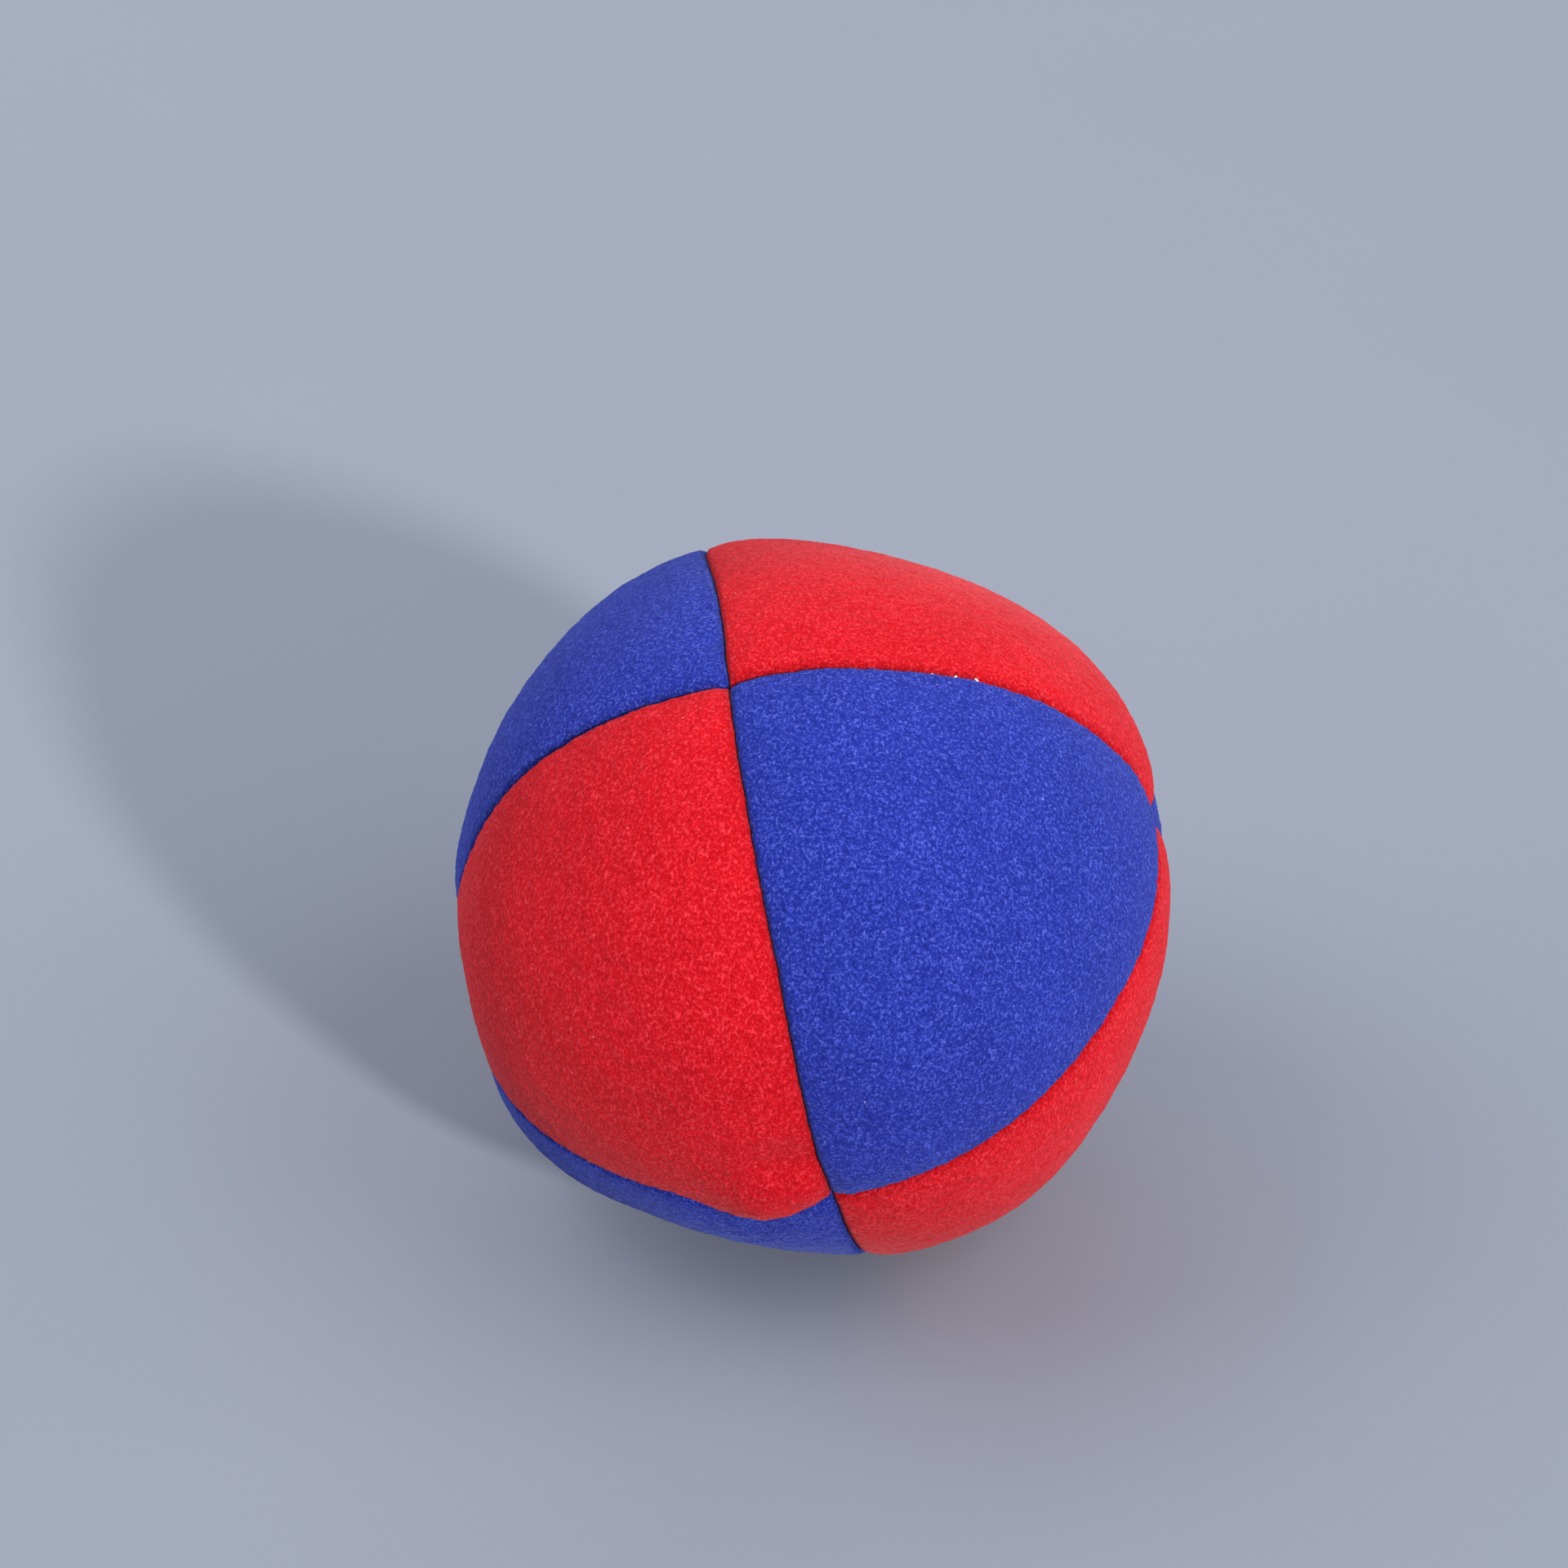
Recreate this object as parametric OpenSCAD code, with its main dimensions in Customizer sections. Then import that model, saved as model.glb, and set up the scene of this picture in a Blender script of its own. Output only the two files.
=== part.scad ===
// Sewn beanbag juggling ball: eight three-cornered velour panels, alternately red and blue,
// joined by machine seams with their allowances turned inwards, filled with loose grain and
// closed by hand along one stretch of the last seam. It rests on a small flat spot.
//
// Ball frame, before the ball is laid down: the six corners where four panels meet lie on
// the X, Y and Z axes, and the three seam circles lie in the coordinate planes.
// Finished frame: +Z up, origin at the middle of the flat resting spot, -Y to the front.

/* [Ball] */
// Diameter over the panels
ball_d = 65; // [55:1:80]
// Height lost where the filled ball settles flat on a table
rest_flat = 2; // [1:0.25:2.5]

/* [Lay of the ball] */
// Turn of the ball about X, which carries its top corner forwards
tilt_front = 14; // [10:1:20]
// Turn of the ball about Y, which carries its top corner to the left
tilt_left = 14; // [10:1:20]
// Turn of the ball about Z, which carries its right corner backwards
turn_back = 2; // [0:1:10]

/* [Fabric] */
// Thickness of the velour, backing and pile together
fabric_t = 1.2; // [0.8:0.1:1.6]
// Gap between the two panels along a seam
seam_gap = 0.1; // [0.05:0.05:0.2]
// Depth of the machine stitch line below the ball's surface
seam_depth = 2; // [1.8:0.1:2.4]
// Width of fabric left inside a seam, from the stitch line to the cut edge
seam_allowance = 4; // [3:0.5:6]

/* [Thread] */
// Diameter of the sewing thread
thread_d = 0.5; // [0.3:0.05:0.6]
// Distance from one stitch to the next
stitch_pitch = 2; // [2:0.25:4]
// How deep the thread beds into the face of the fabric
thread_bite = 0.1; // [0.05:0.05:0.15]
// Free space round a thread in its needle holes and bed
thread_clearance = 0.05; // [0.03:0.01:0.08]

/* [Closing seam] */
// Length of the opening through which the ball is filled, closed by hand afterwards
opening_len = 30; // [22:1:34]
// Where the middle of the opening lies on its seam, in degrees from the top corner
opening_middle = 45; // [42:1:48]
// Depth of the hand stitches below the ball's surface
closing_depth = 0.8; // [0.7:0.05:0.9]
// Diameter of the knot at each end of the hand stitches
knot_d = 1; // [0.8:0.1:1.1]

/* [Filling] */
// Free space between the packed grain and the bag
fill_gap = 0.15; // [0.1:0.05:0.4]

/* [Hidden] */
$fn = 96;
ball_r = ball_d / 2;
centre_h = ball_r - rest_flat;
lining_r = ball_r - fabric_t;
seam_r = ball_r - seam_depth;
flange_r = seam_r - seam_allowance;
closing_r = ball_r - closing_depth;
thread_r = thread_d / 2;
half_gap = seam_gap / 2;
// Distance from a seam's plane to the thread that lies along a flange's face
bed_offset = half_gap + fabric_t + thread_r - thread_bite;
// Distance from the closing seam's plane to the thread inside the folded edge
fold_offset = half_gap + fabric_t / 2;
slot_half = bed_offset + thread_r + fill_gap;
// A seam that meets another one ends this angle short of it
end_angle = asin((bed_offset + 3 * thread_r) / seam_r);
opening_angle = opening_len / ball_r * 180 / PI;
opening_from = opening_middle - opening_angle / 2;
opening_to = opening_middle + opening_angle / 2;
// A thread that crosses or leaves a bend is this share of the thread along the seam
cross_share = 0.8;
cross_r = thread_r * cross_share;
knot_r = knot_d / 2;
// A thread's bed runs on past both ends of its seam by this angle
bed_overrun = 1;
far = 3 * ball_d;

// A seam is [plane, from, to]. Plane 0 faces Z, plane 1 faces X and plane 2 faces Y.
// Angles run from X to Y in plane 0, from Y to Z in plane 1 and from Z to X in plane 2.
FRONT_LONG = [0, 180 + end_angle, 360 - end_angle];
BACK_LONG = [0, end_angle, 180 - end_angle];
BACK_UPPER = [1, end_angle, 90 - end_angle];
FRONT_UPPER = [1, 90 + end_angle, 180 - end_angle];
FRONT_LOWER = [1, 180 + end_angle, 270 - end_angle];
BACK_LOWER = [1, 270 + end_angle, 360 - end_angle];
MIDDLE = [2, opening_to, 360 + opening_from];
OPENING = [2, opening_from + end_angle, opening_to - end_angle];

RED = [0.82, 0.07, 0.12];
BLUE = [0.16, 0.21, 0.62];
DARK = [0.12, 0.10, 0.20];
PALE = [0.88, 0.86, 0.82];
GRAIN = [0.85, 0.71, 0.42];

// Turns the ball frame to the finished frame, with the ball's centre above the origin
module lay_down() {
    translate([0, 0, centre_h]) rotate([tilt_front, -tilt_left, turn_back]) children();
}

// A ball about the common centre, cut flat at the given height above the table
module settled_ball(r, floor_h) {
    intersection() {
        translate([0, 0, centre_h]) sphere(r);
        translate([-far / 2, -far / 2, floor_h]) cube(far);
    }
}

// Turns XY into the plane of a seam
module on_plane(plane) {
    if (plane == 0) children();
    if (plane == 1) rotate([90, 0, 90]) children();
    if (plane == 2) rotate([90, 0, 90]) rotate([90, 0, 90]) children();
}

// The corner of space that starts the given distance inside three seam planes
module octant(signs, inset) {
    shift = [for (s = signs) s > 0 ? inset : -inset - far];
    translate(shift) cube(far);
}

// Equal steps of about one stitch from one angle to another
function stitch_count(from, to) = round((to - from) * PI / 180 * seam_r / stitch_pitch);
function stitch_angles(from, to) =
    let (n = stitch_count(from, to)) [for (i = [0 : n]) from + (to - from) * i / n];

// Thread lying along an arc beside the seam's plane
module thread_arc(from, to, path_r, offset, r) {
    translate([0, 0, offset]) rotate([0, 0, from])
        rotate_extrude(angle = to - from) translate([path_r, 0]) circle(r);
}

// Thread crossing the seam at one needle hole, from one offset to another
module thread_cross(angle, path_r, low, high, r) {
    rotate([0, 0, angle]) translate([path_r, 0, low]) cylinder(r = r, h = high - low);
}

// Lockstitch: a thread along each outer face of the two flanges, locked through them
module lockstitch(seam) {
    lay_down() on_plane(seam[0]) {
        for (side = [-1, 1]) thread_arc(seam[1], seam[2], seam_r, side * bed_offset, thread_r);
        for (a = stitch_angles(seam[1], seam[2]))
            thread_cross(a, seam_r, -bed_offset, bed_offset, cross_r);
    }
}

// The needle holes and thread bed that one seam leaves in the panel on one side of it
module lockstitch_bed(seam, side) {
    bed = side * bed_offset;
    lay_down() on_plane(seam[0]) {
        thread_arc(seam[1] - bed_overrun, seam[2] + bed_overrun, seam_r, bed,
            thread_r + thread_clearance);
        for (a = stitch_angles(seam[1], seam[2]))
            thread_cross(a, seam_r, min(0, bed), max(0, bed), cross_r + thread_clearance);
    }
}

// Offset of the ladder stitch after its numbered hole, in one folded edge or the other
function fold_side(i) = (i % 2 == 0 ? 1 : -1) * fold_offset;

// Ladder stitch: the thread runs inside one folded edge, crosses, and runs inside the other.
// The extra radius turns the thread into the passage that it needs in the panels.
module ladder_stitch(extra) {
    angles = stitch_angles(OPENING[1], OPENING[2]);
    last = len(angles) - 1;
    lay_down() on_plane(OPENING[0]) {
        for (i = [0 : last - 1])
            thread_arc(angles[i], angles[i + 1], closing_r, fold_side(i), cross_r + extra);
        for (i = [1 : last - 1])
            thread_cross(angles[i], closing_r, -fold_offset, fold_offset, thread_r + extra);
        rotate([0, 0, angles[0]]) translate([closing_r, 0, fold_side(0)]) sphere(knot_r + extra);
        rotate([0, 0, angles[last]])
            translate([closing_r, 0, fold_side(last - 1)]) sphere(knot_r + extra);
    }
}

// One panel: a three-cornered piece of shell with its three seam allowances turned inwards
module panel(signs) {
    front = signs[1] < 0;
    upper = signs[2] > 0;
    long_seam = front ? FRONT_LONG : BACK_LONG;
    short_seam = front ? (upper ? FRONT_UPPER : FRONT_LOWER) : (upper ? BACK_UPPER : BACK_LOWER);
    difference() {
        intersection() {
            settled_ball(ball_r, 0);
            lay_down() octant(signs, half_gap);
        }
        settled_ball(flange_r, fabric_t);
        intersection() {
            settled_ball(lining_r, fabric_t);
            lay_down() octant(signs, half_gap + fabric_t);
        }
        lockstitch_bed(long_seam, signs[2]);
        lockstitch_bed(short_seam, signs[0]);
        lockstitch_bed(MIDDLE, signs[1]);
        if (signs[0] > 0 && signs[2] > 0) ladder_stitch(thread_clearance);
    }
}

// Packed grain: fills the bag up to the panels and between the turned-in allowances
module grain() {
    difference() {
        settled_ball(lining_r - fill_gap, fabric_t + fill_gap);
        difference() {
            lay_down() for (plane = [0 : 2])
                on_plane(plane) translate([0, 0, -slot_half]) cylinder(r = ball_r, h = 2 * slot_half);
            translate([0, 0, centre_h]) sphere(flange_r - fill_gap);
        }
    }
}

module blue_panel_upper_front_right() { color(BLUE) panel([1, -1, 1]); }
module red_panel_upper_front_left() { color(RED) panel([-1, -1, 1]); }
module red_panel_upper_back_right() { color(RED) panel([1, 1, 1]); }
module blue_panel_upper_back_left() { color(BLUE) panel([-1, 1, 1]); }
module red_panel_lower_front_right() { color(RED) panel([1, -1, -1]); }
module blue_panel_lower_front_left() { color(BLUE) panel([-1, -1, -1]); }
module blue_panel_lower_back_right() { color(BLUE) panel([1, 1, -1]); }
module red_panel_lower_back_left() { color(RED) panel([-1, 1, -1]); }
module stitching_front_upper() { color(DARK) lockstitch(FRONT_UPPER); }
module stitching_front_lower() { color(DARK) lockstitch(FRONT_LOWER); }
module stitching_back_upper() { color(DARK) lockstitch(BACK_UPPER); }
module stitching_back_lower() { color(DARK) lockstitch(BACK_LOWER); }
module stitching_front_long() { color(DARK) lockstitch(FRONT_LONG); }
module stitching_back_long() { color(DARK) lockstitch(BACK_LONG); }
module stitching_middle() { color(DARK) lockstitch(MIDDLE); }
module closing_thread() { color(PALE) ladder_stitch(0); }
module grain_filling() { color(GRAIN) grain(); }

blue_panel_upper_front_right();
red_panel_upper_front_left();
red_panel_upper_back_right();
blue_panel_upper_back_left();
red_panel_lower_front_right();
blue_panel_lower_front_left();
blue_panel_lower_back_right();
red_panel_lower_back_left();
stitching_front_upper();
stitching_front_lower();
stitching_back_upper();
stitching_back_lower();
stitching_front_long();
stitching_back_long();
stitching_middle();
closing_thread();
grain_filling();
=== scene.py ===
"""Looks of the sewn beanbag juggling ball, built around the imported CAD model. Units are metres."""

import bpy
import math
import numpy as np
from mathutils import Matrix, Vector


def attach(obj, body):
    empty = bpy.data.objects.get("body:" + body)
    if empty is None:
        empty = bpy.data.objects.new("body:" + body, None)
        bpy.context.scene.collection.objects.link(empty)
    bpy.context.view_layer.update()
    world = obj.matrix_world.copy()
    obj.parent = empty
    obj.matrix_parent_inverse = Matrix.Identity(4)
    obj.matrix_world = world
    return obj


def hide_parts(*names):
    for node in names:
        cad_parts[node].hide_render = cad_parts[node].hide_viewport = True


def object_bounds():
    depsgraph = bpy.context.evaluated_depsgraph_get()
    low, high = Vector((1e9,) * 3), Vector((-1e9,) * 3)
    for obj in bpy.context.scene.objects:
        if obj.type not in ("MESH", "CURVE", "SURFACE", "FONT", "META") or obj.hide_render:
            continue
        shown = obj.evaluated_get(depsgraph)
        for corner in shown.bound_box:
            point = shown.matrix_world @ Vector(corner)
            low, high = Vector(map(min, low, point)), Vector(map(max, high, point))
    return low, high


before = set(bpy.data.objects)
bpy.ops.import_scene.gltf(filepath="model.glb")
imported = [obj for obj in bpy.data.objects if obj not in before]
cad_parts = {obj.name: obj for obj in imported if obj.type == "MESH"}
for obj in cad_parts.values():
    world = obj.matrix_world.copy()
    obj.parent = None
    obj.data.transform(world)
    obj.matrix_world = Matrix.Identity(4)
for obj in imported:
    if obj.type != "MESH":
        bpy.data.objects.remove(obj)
cad_low, cad_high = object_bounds()

MM = 0.001
# Points closer together than this count as one place
TOUCHING = 0.01 * MM

# Every unevenness has noise seeds of its own: this one and the few that follow it
DRIFT_SEED = 7
JITTER_SEED = 17
PUCKER_SEED = 27
NAP_SEED = 38
EDGE_SEED = 47
GRAIN_SEED = 57
FRAY_SEED = 67

# ---------------------------------------------------------------------------------------------
# The ball's frame, read from the CAD: its radius, its centre and the three seam planes' normals
# ---------------------------------------------------------------------------------------------


def plane_normal(node, towards):
    """Unit normal of the plane that a run of stitching lies along, on the side of a rough direction."""
    mesh = bpy.data.objects[node].data
    points = np.array([v.co for v in mesh.vertices], float)
    normal = np.linalg.svd(points - ball_centre, full_matrices=False)[2][2]
    return normal * np.sign(normal @ np.array(towards, float))


BALL_R = (cad_high.x - cad_low.x) / 2
ball_centre = np.array([
    (cad_low.x + cad_high.x) / 2,
    (cad_low.y + cad_high.y) / 2,
    cad_high.z - BALL_R,
])
FLOOR_Z = cad_low.z

# Columns are the ball's own right, back and top corners, each where four panels meet
CORNERS = np.stack([
    plane_normal("stitching_front_upper", (1, 0, 0)),
    plane_normal("stitching_middle", (0, 1, 0)),
    plane_normal("stitching_front_long", (0, 0, 1)),
], axis=1)
RIGHT, BACK, TOP = 0, 1, 2

# Each panel's side of the three seam planes
PANELS = {
    "blue_panel_upper_front_right": (1, -1, 1),
    "red_panel_upper_front_left": (-1, -1, 1),
    "red_panel_upper_back_right": (1, 1, 1),
    "blue_panel_upper_back_left": (-1, 1, 1),
    "red_panel_lower_front_right": (1, -1, -1),
    "blue_panel_lower_front_left": (-1, -1, -1),
    "blue_panel_lower_back_right": (1, 1, -1),
    "red_panel_lower_back_left": (-1, 1, -1),
}

# ---------------------------------------------------------------------------------------------
# Smooth noise
# ---------------------------------------------------------------------------------------------

# Large odd numbers that stir the bits of a place's grid numbers, and of the seed
STIR_X = 73856093
STIR_Y = 19349663
STIR_Z = 83492791
STIR_SEED = 2654435761
STIR_ONCE = 1274126177
STIR_AGAIN = 2246822519
LOW_32_BITS = 0xFFFFFFFF
LOW_24_BITS = 0xFFFFFF
# These keep the noise's grid numbers positive, and move each seed's grid away from the others
NOISE_OFFSET = 1000.0
NOISE_SEED_STEP = 17.3


def unit(v):
    """Vectors scaled to a length of one."""
    v = np.asarray(v, float)
    return v / np.linalg.norm(v, axis=-1, keepdims=True)


def grid_value(x, y, z, seed):
    """A fixed number from -1 to 1 for each place with whole numbers as its coordinates."""
    key = x * STIR_X ^ y * STIR_Y
    key = (key ^ z * STIR_Z ^ seed * STIR_SEED) & LOW_32_BITS
    key = (key ^ key >> 13) * STIR_ONCE & LOW_32_BITS
    key = (key ^ key >> 16) * STIR_AGAIN & LOW_32_BITS
    return ((key ^ key >> 15) & LOW_24_BITS) / (LOW_24_BITS // 2) - 1


def value_noise(points, cell, seed):
    """Smooth noise from -1 to 1 at each point, with features about one cell across."""
    scaled = points / cell + NOISE_OFFSET + NOISE_SEED_STEP * seed
    base = np.floor(scaled).astype(np.int64)
    part = scaled - base
    part = part * part * (3 - 2 * part)
    total = np.zeros(len(points))
    for dx in (0, 1):
        for dy in (0, 1):
            for dz in (0, 1):
                value = grid_value(base[:, 0] + dx, base[:, 1] + dy, base[:, 2] + dz, seed)
                weight = np.where((dx, dy, dz), part, 1 - part)
                total += value * (weight[:, 0] * weight[:, 1] * weight[:, 2])
    return total


# ---------------------------------------------------------------------------------------------
# Shape of the stuffed bag
# ---------------------------------------------------------------------------------------------

# Where the grain pushes the bag out (+) or leaves it hollow (-):
# direction in the finished frame, height, and width of the lump in degrees
LUMPS = [
    ((-0.80, -0.40, -0.45), 1.60 * MM, 19),
    ((0.52, -0.55, -0.65), 0.95 * MM, 22),
    ((0.87, 0.31, 0.38), 0.95 * MM, 18),
    ((-0.33, 0.60, 0.73), 0.90 * MM, 18),
    ((0.26, 0.60, 0.75), -1.60 * MM, 23),
    ((-0.174, 0.62, 0.765), 0.40 * MM, 9),
    ((-0.85, 0.33, 0.41), -0.90 * MM, 20),
    ((-0.97, -0.16, -0.20), -2.10 * MM, 10),
    ((-1.0, 0.0, 0.0), 0.30 * MM, 9),
    ((-0.94, 0.215, 0.266), -0.30 * MM, 9),
    ((-0.39, -0.58, -0.72), -1.60 * MM, 14),
    ((-0.10, -0.62, -0.78), -1.35 * MM, 16),
    ((-0.26, -0.61, -0.75), -0.75 * MM, 11),
    ((0.20, -0.62, -0.76), 0.70 * MM, 9),
    ((0.77, -0.40, -0.50), -0.25 * MM, 12),
    ((0.99, -0.10, -0.20), -0.35 * MM, 20),
    ((0.95, 0.0, 0.31), -0.35 * MM, 7),
]
# Where the sewing sits off its true circles, and the cloth with it:
# direction in the finished frame, shift, and reach of the shift in degrees
WARPS = [
    ((-0.03, -0.97, -0.24), (-1.1 * MM, 0.55 * MM, -2.2 * MM), 35),
    ((-0.16, -0.93, -0.32), (0.0, 0.7 * MM, -1.5 * MM), 9),
    ((-0.34, -0.91, -0.25), (0.0, -0.3 * MM, 0.9 * MM), 10),
    ((-0.31, 0.60, 0.74), (-3.05 * MM, 0.0, 0.0), 26),
    ((0.14, -0.62, -0.77), (-1.35 * MM, 0.0, 0.0), 22),
    ((0.96, 0.02, 0.28), (-0.6 * MM, -0.3 * MM, 1.7 * MM), 20),
    ((0.74, -0.67, -0.01), (-0.3 * MM, 0.0, 0.6 * MM), 22),
    ((0.93, 0.235, 0.285), (0.0, -1.5 * MM, -1.9 * MM), 10),
]
# Sideways wandering of the sewing, slow and fine, and about how long each of its waves is
SEAM_DRIFT = 0.35 * MM
SEAM_DRIFT_CELL = 14 * MM
SEAM_JITTER = 0.05 * MM
SEAM_JITTER_CELL = 1.3 * MM
# Tufts of pile push the line of a seam about, but only close to it
SEAM_FRAY = 0.045 * MM
SEAM_FRAY_CELL = 0.36 * MM
SEAM_FRAY_REACH = 0.8 * MM
# How far the corners and the seams lie below the round of the ball, and how wide those hollows are
CORNER_SINK = 0.35 * MM
CORNER_SINK_REACH = 6 * MM
SEAM_SINK = 0.38 * MM
SEAM_SINK_REACH = 1.7 * MM
# The bag spreads just above the table, and its lowest part is pressed flat
SPREAD = 0.35 * MM
SPREAD_HEIGHT = 10 * MM
SPREAD_BAND = 6 * MM
PRESS_SOFTNESS = 0.4 * MM


def seam_distance(ball_dirs):
    """Distance over the surface from each point to each of the three seam circles."""
    return BALL_R * np.arcsin(np.clip(np.abs(ball_dirs), 0, 1))


def nearest_seam(ball_dirs):
    """Distance over the surface from each point to the nearest seam."""
    return seam_distance(ball_dirs).min(axis=1)


def nearest_corner(ball_dirs):
    """Distance over the surface from each point to the nearest corner where four panels meet."""
    return BALL_R * np.arccos(np.clip(np.abs(ball_dirs).max(axis=1), 0, 1))


def seam_wander(ball_dirs):
    """Sideways drift of the sewing, in the ball's own frame, the same on both sides of a seam."""
    places = ball_dirs * BALL_R
    fray = SEAM_FRAY * np.exp(-(nearest_seam(ball_dirs) / SEAM_FRAY_REACH) ** 2)
    drift = np.zeros_like(places)
    for axis in range(3):
        drift[:, axis] += SEAM_DRIFT * value_noise(places, SEAM_DRIFT_CELL, DRIFT_SEED + axis)
        drift[:, axis] += SEAM_JITTER * value_noise(places, SEAM_JITTER_CELL, JITTER_SEED + axis)
        drift[:, axis] += fray * value_noise(places, SEAM_FRAY_CELL, FRAY_SEED + axis)
    return drift


def bump_over(world, towards, width):
    """1 in one direction of the finished frame, falling away over a width in degrees."""
    angle = np.degrees(np.arccos(np.clip(world @ unit(towards), -1, 1)))
    return np.exp(-(angle / width) ** 2)


def bag_point(ball_dirs, depth=0.0):
    """Place of the bag's surface in each direction of the ball's own frame, before it settles."""
    world = ball_dirs @ CORNERS.T
    slid = world * BALL_R
    for towards, shift, reach in WARPS:
        slid = slid + bump_over(world, towards, reach)[:, None] * np.array(shift)
    world = unit(slid)
    radius = np.full(len(world), BALL_R)
    for towards, height, width in LUMPS:
        radius += height * bump_over(world, towards, width)
    radius -= SEAM_SINK * np.exp(-nearest_seam(ball_dirs) / SEAM_SINK_REACH)
    radius -= CORNER_SINK * np.exp(-(nearest_corner(ball_dirs) / CORNER_SINK_REACH) ** 2)
    radius -= depth
    return ball_centre + world * radius[:, None] + seam_wander(ball_dirs) @ CORNERS.T


def settle(points):
    """The filled bag set down: its foot is pressed flat on the table and the part above it spreads."""
    out = points.copy()
    height = points[:, 2] - FLOOR_Z
    side = points[:, :2] - ball_centre[:2]
    spread = 1 + SPREAD / BALL_R * np.exp(-((height - SPREAD_HEIGHT) / SPREAD_BAND) ** 2)
    out[:, :2] = ball_centre[:2] + side * spread[:, None]
    out[:, 2] = FLOOR_Z + PRESS_SOFTNESS * np.logaddexp(0, height / PRESS_SOFTNESS)
    return out


# ---------------------------------------------------------------------------------------------
# Grids and meshes
# ---------------------------------------------------------------------------------------------


def turns_backwards(signs):
    """Whether a panel's triangles would face inwards, because its grid is mirrored."""
    return signs[0] * signs[1] * signs[2] < 0


def octant_grid(signs, steps, crowd=0.0):
    """A triangular grid over one panel: its directions, its triangles and the ring round its edge.

    crowd draws the grid's lines towards the seams."""
    index = {}
    places = []
    for i in range(steps + 1):
        for j in range(steps + 1 - i):
            index[i, j] = len(places)
            places.append((i, j, steps - i - j))
    share = np.array(places, float) / steps
    eased = share - crowd * np.sin(2 * np.pi * share) / (2 * np.pi)
    dirs = unit(np.sin(np.pi / 2 * eased)) * np.array(signs, float)
    triangles = []
    for i in range(steps):
        for j in range(steps - i):
            triangles.append((index[i, j], index[i + 1, j], index[i, j + 1]))
            if i + j < steps - 1:
                triangles.append((index[i + 1, j], index[i + 1, j + 1], index[i, j + 1]))
    triangles = np.array(triangles)
    if turns_backwards(signs):
        triangles = triangles[:, ::-1]
    rim = [index[i, 0] for i in range(steps)]
    rim += [index[steps - j, j] for j in range(steps)]
    rim += [index[0, steps - j] for j in range(steps)]
    return dirs, triangles, np.array(rim)


def make_object(name, points, faces):
    """A mesh object from arrays of points and of faces that all have the same number of corners."""
    points = np.asarray(points, float)
    faces = np.asarray(faces, int)
    mesh = bpy.data.meshes.new(name)
    mesh.vertices.add(len(points))
    mesh.vertices.foreach_set("co", points.ravel())
    mesh.loops.add(faces.size)
    mesh.loops.foreach_set("vertex_index", faces.ravel())
    mesh.polygons.add(len(faces))
    mesh.polygons.foreach_set("loop_start", np.arange(0, faces.size, faces.shape[1]))
    mesh.polygons.foreach_set("use_smooth", [True] * len(faces))
    mesh.update(calc_edges=True)
    mesh.validate()
    obj = bpy.data.objects.new(name, mesh)
    bpy.context.scene.collection.objects.link(obj)
    return obj


# ---------------------------------------------------------------------------------------------
# Cloth simulation: the panels swell between their seams
# ---------------------------------------------------------------------------------------------

SIM_STEPS = 26
# The bag is simulated ten times its size, because Blender's cloth is made for larger things
SIM_SCALE = 10
SIM_FRAMES = 20
# A negative shrink_min is spare width in the cloth, which the filling takes up
CLOTH_SETTINGS = {
    "quality": 6,
    "mass": 0.4,
    "tension_stiffness": 5,
    "compression_stiffness": 5,
    "shear_stiffness": 3,
    "shrink_min": -0.02,
    "bending_stiffness": 2,
    "air_damping": 4,
    "vertex_group_mass": "seams",
    "use_pressure": True,
    "uniform_pressure_force": 20,
}
# The cloth starts a little inside the bag, except at the seams, and may stand this far off it
START_SIZE = 0.975
SWELL_CAP = 1.0 * MM
# The coarse swelling is smoothed over this many of its grid steps, and read in batches of points
READ_WIDTH = 1.3
READ_BATCH = 4000


def joined_grids(grids):
    """Panel grids joined into one closed mesh: directions, triangles, each panel's point numbers."""
    every = np.concatenate([dirs for dirs, _, _ in grids.values()])
    # Adding zero turns -0.0 into 0.0, so that both sides of a seam are found equal
    rounded = np.round(every, 6) + 0.0
    _, first, joined = np.unique(rounded, axis=0, return_index=True, return_inverse=True)
    joined = joined.reshape(-1)
    numbers = {}
    faces = []
    start = 0
    for name, (dirs, triangles, _) in grids.items():
        numbers[name] = joined[start:start + len(dirs)]
        faces.append(numbers[name][triangles])
        start += len(dirs)
    return every[first], np.concatenate(faces), numbers


def run_cloth(points, faces, held):
    """Where the points of a closed cloth bag go when it is filled and some of them are held."""
    bag = make_object("bag_swelling", (points - ball_centre) * SIM_SCALE, faces)
    pinned = bag.vertex_groups.new(name="seams")
    pinned.add([int(i) for i in np.flatnonzero(held)], 1.0, "REPLACE")
    cloth = bag.modifiers.new("swell", "CLOTH")
    cloth.settings.effector_weights.gravity = 0
    for setting, value in CLOTH_SETTINGS.items():
        setattr(cloth.settings, setting, value)
    cloth.point_cache.frame_start = 1
    cloth.point_cache.frame_end = SIM_FRAMES
    scene = bpy.context.scene
    for moment in range(1, SIM_FRAMES + 1):
        scene.frame_set(moment)
    evaluated = bag.evaluated_get(bpy.context.evaluated_depsgraph_get())
    filled = np.array([v.co for v in evaluated.data.vertices], float) / SIM_SCALE + ball_centre
    bpy.data.objects.remove(bag)
    scene.frame_set(1)
    return filled


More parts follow.
